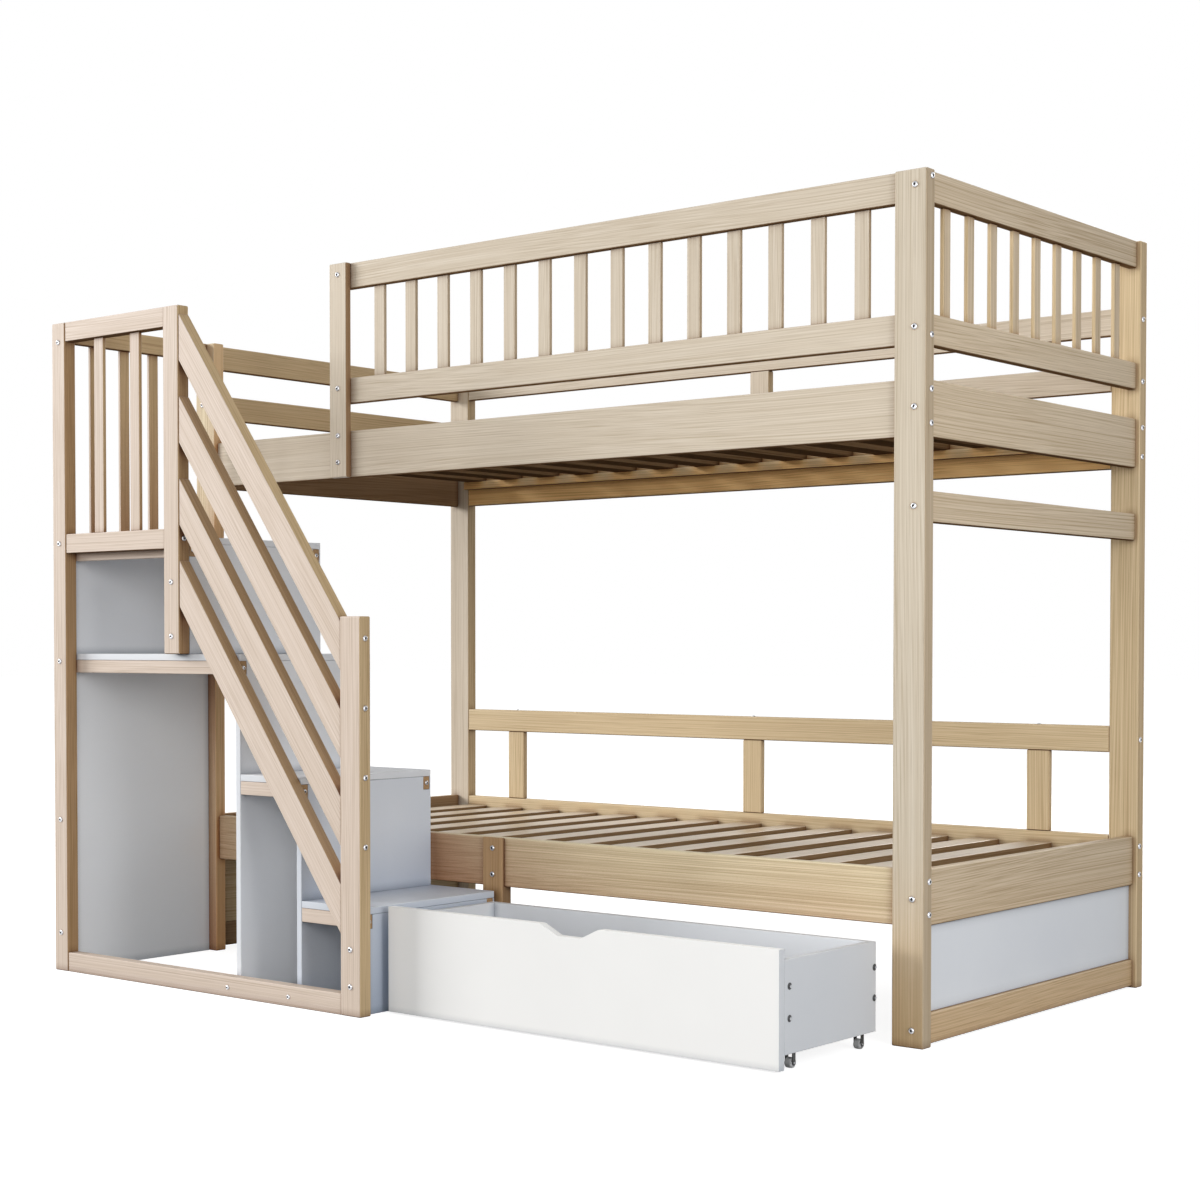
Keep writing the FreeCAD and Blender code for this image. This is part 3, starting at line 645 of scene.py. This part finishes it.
def wooden_pieces():
    front = [FRONT_OAK, SIDE_OAK, UNDER_OAK]
    across = [END_OAK, BACK_OAK, UNDER_OAK, INNER_OAK]
    back = [BACK_OAK, SIDE_OAK, UNDER_OAK]
    stair = [STAIR_OAK, SIDE_OAK, UNDER_OAK]
    low = [LOW_OAK, SIDE_OAK, UNDER_OAK]
    post = [POST_OAK, POST_SIDE_OAK, UNDER_OAK]
    pale = [PALE_OAK, SIDE_OAK, UNDER_OAK, BACK_OAK]
    deep = [STAIR_OAK, SHADE_OAK]
    stair_with_shaded_sides = [STAIR_OAK, EDGE_OAK, UNDER_OAK]
    gold = [GOLD_OAK, SIDE_OAK, UNDER_OAK, BACK_OAK]
    for nodes, radius, materials, pick in (
        (FRONT_BOARDS, BOARD_ROUND, front, long_board),
        (GUARD_BOARDS, BOARD_ROUND, [FRONT_OAK, INNER_OAK], right_side),
        (FRONT_STRIPS, THIN_ROUND, [FRONT_OAK, POST_SIDE_OAK, UNDER_OAK], long_board),
        (LOW_BOARDS, BOARD_ROUND, low, long_board),
        (POST_BOARDS, BOARD_ROUND, post, long_board),
        (PALE_BOARDS, BOARD_ROUND, pale, wall_board),
        (NOOK_BOARDS, BOARD_ROUND, [LOW_OAK, NOOK_OAK], right_side),
        (DEEP_BOARDS, BOARD_ROUND, deep, right_side),
        (BEARERS, THIN_ROUND, deep, right_side),
        (GOLD_BOARDS, BOARD_ROUND, gold, wall_board),
        (CORNER_BOARDS, BOARD_ROUND, [SIDE_OAK, BACK_OAK, UNDER_OAK, INNER_OAK], end_board),
        (END_BOARDS, BOARD_ROUND, across, end_board),
        (END_STRIPS, THIN_ROUND, across, end_board),
        (BACK_BOARDS, BOARD_ROUND, back, long_board),
        (BACK_STRIPS, THIN_ROUND, back, long_board),
        (STAIR_BOARDS, BOARD_ROUND, stair, long_board),
        (PLATFORM_BOARDS, BOARD_ROUND, stair_with_shaded_sides, long_board),
        (STAIR_STRIPS, THIN_ROUND, stair_with_shaded_sides, long_board),
    ):
        for node in nodes:
            boards(node, radius, materials, pick)
    boards("handrail_boards", THIN_ROUND, stair_with_shaded_sides, slanted_board, slanted_corners, slanted_axes)
    upright = (Z_AXIS, X_AXIS, Y_AXIS)
    shaped("middle_leg", LEG_ROUND, upright, [SHADE_OAK, INNER_OAK], right_side)
    boards("ledgers", THIN_ROUND, gold, wall_board)
    boards("lower_slats", THIN_ROUND, [SLAT_OAK, SLAT_SIDE_OAK, SLAT_UNDER_OAK], slat)
    boards("upper_slats", THIN_ROUND, [UPPER_SLAT_OAK, UPPER_SIDE_OAK, SLAT_UNDER_OAK], slat)


def white_pieces():
    laminates = ((WHITE_BOARDS, WHITE), (COOL_SHADE_BOARDS, RISER_WHITE), (DRAWER_BOARDS, DRAWER_WHITE))
    for nodes, material in laminates:
        for node in nodes:
            boards(node, PANEL_ROUND, [material], plain)
    boards("stair_side_panel", PANEL_ROUND, [PANEL_WHITE, WHITE], riser_board)
    shaped("drawer_front", DRAWER_FRONT_ROUND, AXES, [FRONT_WHITE, DRAWER_WHITE], right_side)
    for nodes, material in ((LOW_RISERS, RISER_WHITE), (HIGH_RISERS, WHITE)):
        for node in nodes:
            shaped(node, PANEL_ROUND, AXES, [material, PANEL_WHITE], riser_board)


# Fasteners

HEAD_STEPS = 24
HEX_SIDES = 6
BOLT_RADIUS = 0.0062
SCREW_RADIUS = 0.005
CAP_RADIUS = 0.0066
# Radius and height of each ring, as shares of the head's radius; the last ones are the six-sided socket
DOME_RINGS = [(1.0, -0.1), (1.0, 0.1), (0.93, 0.27), (0.76, 0.41), (0.56, 0.47)]
SOCKET_RINGS = [(0.42, 0.47), (0.4, 0.12)]
CAP_RINGS = [(1.0, -0.1), (1.0, 0.06), (0.9, 0.12), (0.72, 0.12), (0.68, 0.02)]


class Heads:
    """Heads of bolts, screws or caps gathered into one mesh."""

    def __init__(self, name, rings, radius):
        self.name = name
        self.rings = rings
        self.radius = radius
        self.points = []
        self.faces = []
        self.dark = []

    def ring(self, place, axes, radius, height, six_sided):
        across, up, out = axes
        side = 2 * math.pi / HEX_SIDES
        for step in range(HEAD_STEPS):
            angle = 2 * math.pi * step / HEAD_STEPS
            reach = radius / math.cos(angle % side - side / 2) if six_sided else radius
            flat = across * math.cos(angle) + up * math.sin(angle)
            self.points.append(place + flat * reach * self.radius + out * height * self.radius)

    def set(self, place, out):
        """One head on a surface, facing out of it."""
        up = Y_AXIS if abs(out.z) > FACING else Z_AXIS
        axes = (up.cross(out), up, out)
        start = len(self.points)
        for radius, height in self.rings:
            self.ring(place, axes, radius, height, False)
        for radius, height in SOCKET_RINGS:
            self.ring(place, axes, radius, height, True)
        count = len(self.rings) + len(SOCKET_RINGS)
        for level in range(count - 1):
            for step in range(HEAD_STEPS):
                low = start + level * HEAD_STEPS
                high = low + HEAD_STEPS
                after = (step + 1) % HEAD_STEPS
                self.faces.append([low + step, low + after, high + after, high + step])
                self.dark.append(level >= len(self.rings))
        last = start + (count - 1) * HEAD_STEPS
        self.faces.append([last + step for step in range(HEAD_STEPS)])
        self.dark.append(True)
        self.faces.append([start + step for step in reversed(range(HEAD_STEPS))])
        self.dark.append(False)

    def build(self, body, slot, shell, hollow):
        mesh = bpy.data.meshes.new(self.name)
        mesh.from_pydata(self.points, [], self.faces)
        piece = finished(mesh, [shell, hollow])
        mesh.polygons.foreach_set("material_index", [int(dark) for dark in self.dark])
        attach(piece, body)


def middle(node, axis):
    low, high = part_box(node)
    return (low[axis] + high[axis]) / 2


# Heights of the bolts, from the photograph
SIDE_RAIL_BOLTS = [0.257, 0.3205, 1.198, 1.263]
END_RAIL_BOLTS = [0.034, 0.287, 1.229, 1.381]
RIGHT_END_BOLTS = [1.04, 1.65]
LEFT_END_BOLTS = [1.504]
FRONT_GUARD_BOLTS = [1.366, 1.667]
BACK_GUARD_BOLTS = [0.561, 1.3665, 1.5055]
# Upright, the way its bolts face, and their heights
UPRIGHT_BOLTS = [
    ("guard_post", -Y_AXIS, [1.209, 1.272, 1.384, 1.653]),
    ("middle_leg", -Y_AXIS, [0.26, 0.319]),
    ("stair_post_left", -Y_AXIS, [0.091, 0.36, 0.736, 1.014, 1.4886]),
    ("stair_post_middle", -Y_AXIS, [0.794, 0.916]),
    ("stair_post_middle", X_AXIS, [1.0135]),
    ("stair_newel", -Y_AXIS, [0.062, 0.14]),
    ("stair_newel", X_AXIS, [0.354, 0.4985, 0.643, 0.788]),
]
# Places of the bottom rail's screws and of the drawer's caps, from the photograph
BOTTOM_SCREWS_X = [-0.433, -0.237]
BOTTOM_SCREWS_Z = 0.021
CAPS_Y = [-0.6005, -0.3095]
CAPS_Z = [0.0975, 0.1564]


def post_bolts(bolts):
    """Bolts through the bed's posts into the rails that end on them."""
    for side, out_x, end_bolts in (("right", X_AXIS, RIGHT_END_BOLTS), ("left", -X_AXIS, LEFT_END_BOLTS)):
        for end, out_y in (("front", -Y_AXIS), ("back", Y_AXIS)):
            post = "post_%s_%s" % (end, side)
            low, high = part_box(post)
            face_x = high.x if out_x.x > 0 else low.x
            face_y = high.y if out_y.y > 0 else low.y
            rail_y = middle("lower_side_rail_" + end, 1)
            rail_x = middle("end_panel_" + side, 0)
            for height in END_RAIL_BOLTS + end_bolts:
                bolts.set(Vector((rail_x, face_y, height)), out_y)
            for height in SIDE_RAIL_BOLTS:
                bolts.set(Vector((face_x, rail_y, height)), out_x)
    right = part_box("post_front_right")[1].x
    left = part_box("post_front_left")[0].x
    front = middle("front_guard_rails", 1)
    back = middle("back_guard_rails", 1)
    for height in FRONT_GUARD_BOLTS:
        bolts.set(Vector((right, front, height)), X_AXIS)
    for height in BACK_GUARD_BOLTS:
        bolts.set(Vector((right, back, height)), X_AXIS)
        bolts.set(Vector((left, back, height)), -X_AXIS)


def row_of_bolts(bolts, node, out, heights):
    """Bolts down the middle of an upright's face."""
    low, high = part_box(node)
    for height in heights:
        place = Vector(((low.x + high.x) / 2, (low.y + high.y) / 2, height))
        for axis in range(2):
            if out[axis]:
                place[axis] = high[axis] if out[axis] > 0 else low[axis]
        bolts.set(place, out)


def fasteners():
    bolts = Heads("frame_bolts", DOME_RINGS, BOLT_RADIUS)
    post_bolts(bolts)
    for node, out, heights in UPRIGHT_BOLTS:
        row_of_bolts(bolts, node, out, heights)
    bolts.build("bed", "castor_pin", ZINC, RECESS_SHADE)

    screws = Heads("frame_screws", DOME_RINGS, SCREW_RADIUS)
    for node in BEARERS:
        for points in solids(node):
            low = Vector([span(points, axis)[0] for axis in range(3)])
            high = Vector([span(points, axis)[1] for axis in range(3)])
            screws.set(Vector((high.x, (low.y + high.y) / 2, (low.z + high.z) / 2)), X_AXIS)
    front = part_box("stair_bottom_rail")[0].y
    for across in BOTTOM_SCREWS_X:
        screws.set(Vector((across, front, BOTTOM_SCREWS_Z)), -Y_AXIS)
    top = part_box("lower_back_guard_rail")[1].z
    for points in solids("lower_back_guard_uprights"):
        screws.set(Vector((sum(span(points, 0)) / 2, middle("lower_back_guard_rail", 1), top)), Z_AXIS)
    screws.build("bed", "castor_pin", ZINC, RECESS_SHADE)

    # The outer ring of each cap is near black, painting the shade of the connector's hole; the head inside
    # is steel
    caps = Heads("drawer_caps", CAP_RINGS, CAP_RADIUS)
    low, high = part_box("drawer_sides")
    for deep in CAPS_Y:
        for height in CAPS_Z:
            caps.set(Vector((low.x, deep, height)), -X_AXIS)
            caps.set(Vector((high.x, deep, height)), X_AXIS)
    caps.build("drawer", "castor_pin", RECESS_SHADE, ZINC)


# Castors

WHEEL_STEPS = 48
TYRE_HALF_WIDTH = 0.0065
# Half of the crown: place along the axle as a share of the tyre's half width, and share of the crown's drop
CROWN_HALF = [(0.5, 0.0), (0.72, 0.04), (0.86, 0.12), (0.95, 0.24), (0.99, 0.4), (1.0, 0.55)]
# Shares of the wheel's radius
CROWN_DROP = 0.14
RIM = 0.66
BORE = 0.3
BOSS = 0.42
BOSS_FOOT = 0.46
DISC = 0.62
SEAT = 1.01 * RIM
# Shares of the tyre's half width
DISC_FACE = 0.8
SEAT_FACE = 0.95


def ring_solid(name, centre, section):
    """A closed section turned about an axle along X."""
    count = len(section)
    points = []
    faces = []
    for step in range(WHEEL_STEPS):
        angle = 2 * math.pi * step / WHEEL_STEPS
        for across, radius in section:
            points.append(centre + Vector((across, radius * math.cos(angle), radius * math.sin(angle))))
        after = (step + 1) % WHEEL_STEPS
        for place in range(count):
            follow = (place + 1) % count
            here = step * count
            there = after * count
            faces.append([here + place, there + place, there + follow, here + follow])
    mesh = bpy.data.meshes.new(name)
    mesh.from_pydata(points, [], faces)
    bm = bmesh.new()
    bm.from_mesh(mesh)
    bmesh.ops.recalc_face_normals(bm, faces=bm.faces)
    bm.to_mesh(mesh)
    bm.free()
    return mesh


def mirrored(half):
    """A section through both sides of a wheel, from the points of its right half."""
    return [(-across, radius) for across, radius in reversed(half)] + half


def castor_wheel(node):
    low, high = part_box(node)
    centre = (low + high) / 2
    radius = (high.z - low.z) / 2
    crown = [(TYRE_HALF_WIDTH * across, radius * (1 - CROWN_DROP * drop)) for across, drop in CROWN_HALF]
    section = mirrored(crown + [(TYRE_HALF_WIDTH, radius * RIM)])
    tyre = finished(ring_solid(node + "_tyre", centre, section), [GREY_TYRE])
    stand_for(tyre, node)
    hub_half = (high.x - low.x) / 2
    face = TYRE_HALF_WIDTH * DISC_FACE
    spoke = [
        (TYRE_HALF_WIDTH * SEAT_FACE, radius * SEAT), (face, radius * DISC), (face, radius * BOSS_FOOT),
        (hub_half, radius * BOSS), (hub_half, radius * BORE),
    ]
    hub = finished(ring_solid(node + "_hub", centre, mirrored(spoke)), [ZINC])
    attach(hub, NODE_BODY[node])


def castors():
    for node, material in (("castor_forks", BLACK_PAINT), ("castor_axles", ZINC)):
        piece = frame["nodes"][node]
        piece.data.materials.clear()
        piece.data.materials.append(material)
    for node in WHEELS:
        castor_wheel(node)


# Floor, light and camera

FLOOR_REACH = 40
FLOOR_GLOW = 0.84
FLOOR_SEEN = (0.5, 0.5, 0.5, 1.0)
FLOOR_BOUNCE = (0.05, 0.05, 0.05, 1.0)
SKY_LIGHT = (0.93, 0.97, 1.0, 1.0)
SKY_STRENGTH = 0.4
WHITE_LIGHT = (1.0, 1.0, 1.0, 1.0)
WARM = (1.0, 0.99, 0.97)
FAINTLY_WARM = (1.0, 0.995, 0.985)
NEUTRAL = (1.0, 1.0, 1.0)
BED_MIDDLE = (0.0, 0.0, 0.9)
RIGHT_END = (1.0, 0.2, 0.7)
# Name, place, target, size, watts and colour
SOFTBOXES = [
    ("key_softbox", (-11.7, -6.9, 4.9), BED_MIDDLE, (6.3, 4.5), 1560, WARM),
    ("front_softbox", (-0.4, -6.4, 1.1), BED_MIDDLE, (5.0, 1.8), 80, WARM),
    ("right_softbox", (3.6, -5.6, 2.4), BED_MIDDLE, (3.5, 2.2), 95, FAINTLY_WARM),
    ("end_softbox", (3.6, -1.2, 1.1), RIGHT_END, (1.6, 1.6), 46, NEUTRAL),
    ("back_softbox", (-0.4, 7.2, 3.4), BED_MIDDLE, (2.2, 2.2), 230, WARM),
]
# Camera, as fitted to the photograph: sensor and lens in millimetres, turn in degrees
SENSOR_WIDTH = 36
LENS = 63.0
LENS_SHIFT = (0.0184, 0.0826)
CAMERA_PLACE = (3.0966, -3.7659, 0.7726)
CAMERA_TURN = (90 - 1.452, -0.012, 39.593)


def seen_directly(tree):
    """One for rays from the camera and for mirrored or refracted ones, otherwise zero."""
    path = tree.nodes.new("ShaderNodeLightPath")
    direct = calculate(tree, "MAXIMUM", path.outputs["Is Camera Ray"], path.outputs["Is Glossy Ray"])
    return calculate(tree, "MAXIMUM", direct, path.outputs["Is Transmission Ray"])


def pale_floor():
    mesh = bpy.data.meshes.new("floor")
    corners = [(-1, -1, 0), (1, -1, 0), (1, 1, 0), (-1, 1, 0)]
    mesh.from_pydata([Vector(corner) * FLOOR_REACH for corner in corners], [], [(0, 1, 2, 3)])
    material = bpy.data.materials.new("pale_floor")
    material.use_nodes = True
    tree = material.node_tree
    tree.nodes.clear()
    glow = add(tree, "ShaderNodeEmission", {"Color": WHITE_LIGHT, "Strength": FLOOR_GLOW})
    pale = add(tree, "ShaderNodeBsdfDiffuse", {"Color": FLOOR_SEEN})
    seen = add(tree, "ShaderNodeAddShader", {0: pale, 1: glow})
    dim = add(tree, "ShaderNodeBsdfDiffuse", {"Color": FLOOR_BOUNCE})
    both = add(tree, "ShaderNodeMixShader", {0: seen_directly(tree), 1: dim, 2: seen})
    tree.links.new(both, tree.nodes.new("ShaderNodeOutputMaterial").inputs["Surface"])
    mesh.materials.append(material)
    floor = bpy.data.objects.new("floor", mesh)
    bpy.context.scene.collection.objects.link(floor)


def sky():
    world = bpy.data.worlds.new("studio")
    bpy.context.scene.world = world
    world.use_nodes = True
    tree = world.node_tree
    tree.nodes.clear()
    soft = add(tree, "ShaderNodeBackground", {"Color": SKY_LIGHT, "Strength": SKY_STRENGTH})
    white = add(tree, "ShaderNodeBackground", {"Color": WHITE_LIGHT, "Strength": 1.0})
    both = add(tree, "ShaderNodeMixShader", {0: seen_directly(tree), 1: soft, 2: white})
    tree.links.new(both, tree.nodes.new("ShaderNodeOutputWorld").inputs["Surface"])


def softbox(name, place, target, size, watts, colour):
    data = bpy.data.lights.new(name, "AREA")
    data.shape = "RECTANGLE"
    data.size, data.size_y = size
    data.energy = watts
    data.color = colour
    lamp = bpy.data.objects.new(name, data)
    lamp.location = place
    lamp.rotation_euler = (Vector(target) - Vector(place)).to_track_quat("-Z", "Y").to_euler()
    lamp.visible_camera = False
    bpy.context.scene.collection.objects.link(lamp)


def camera():
    data = bpy.data.cameras.new("photo_camera")
    data.sensor_width = SENSOR_WIDTH
    data.lens = LENS
    data.shift_x, data.shift_y = LENS_SHIFT
    piece = bpy.data.objects.new("photo_camera", data)
    piece.location = CAMERA_PLACE
    piece.rotation_euler = [math.radians(angle) for angle in CAMERA_TURN]
    bpy.context.scene.collection.objects.link(piece)
    bpy.context.scene.camera = piece


wooden_pieces()
white_pieces()
fasteners()
castors()
pale_floor()
sky()
for softbox_row in SOFTBOXES:
    softbox(*softbox_row)
camera()
bpy.context.scene.view_settings.view_transform = "Standard"
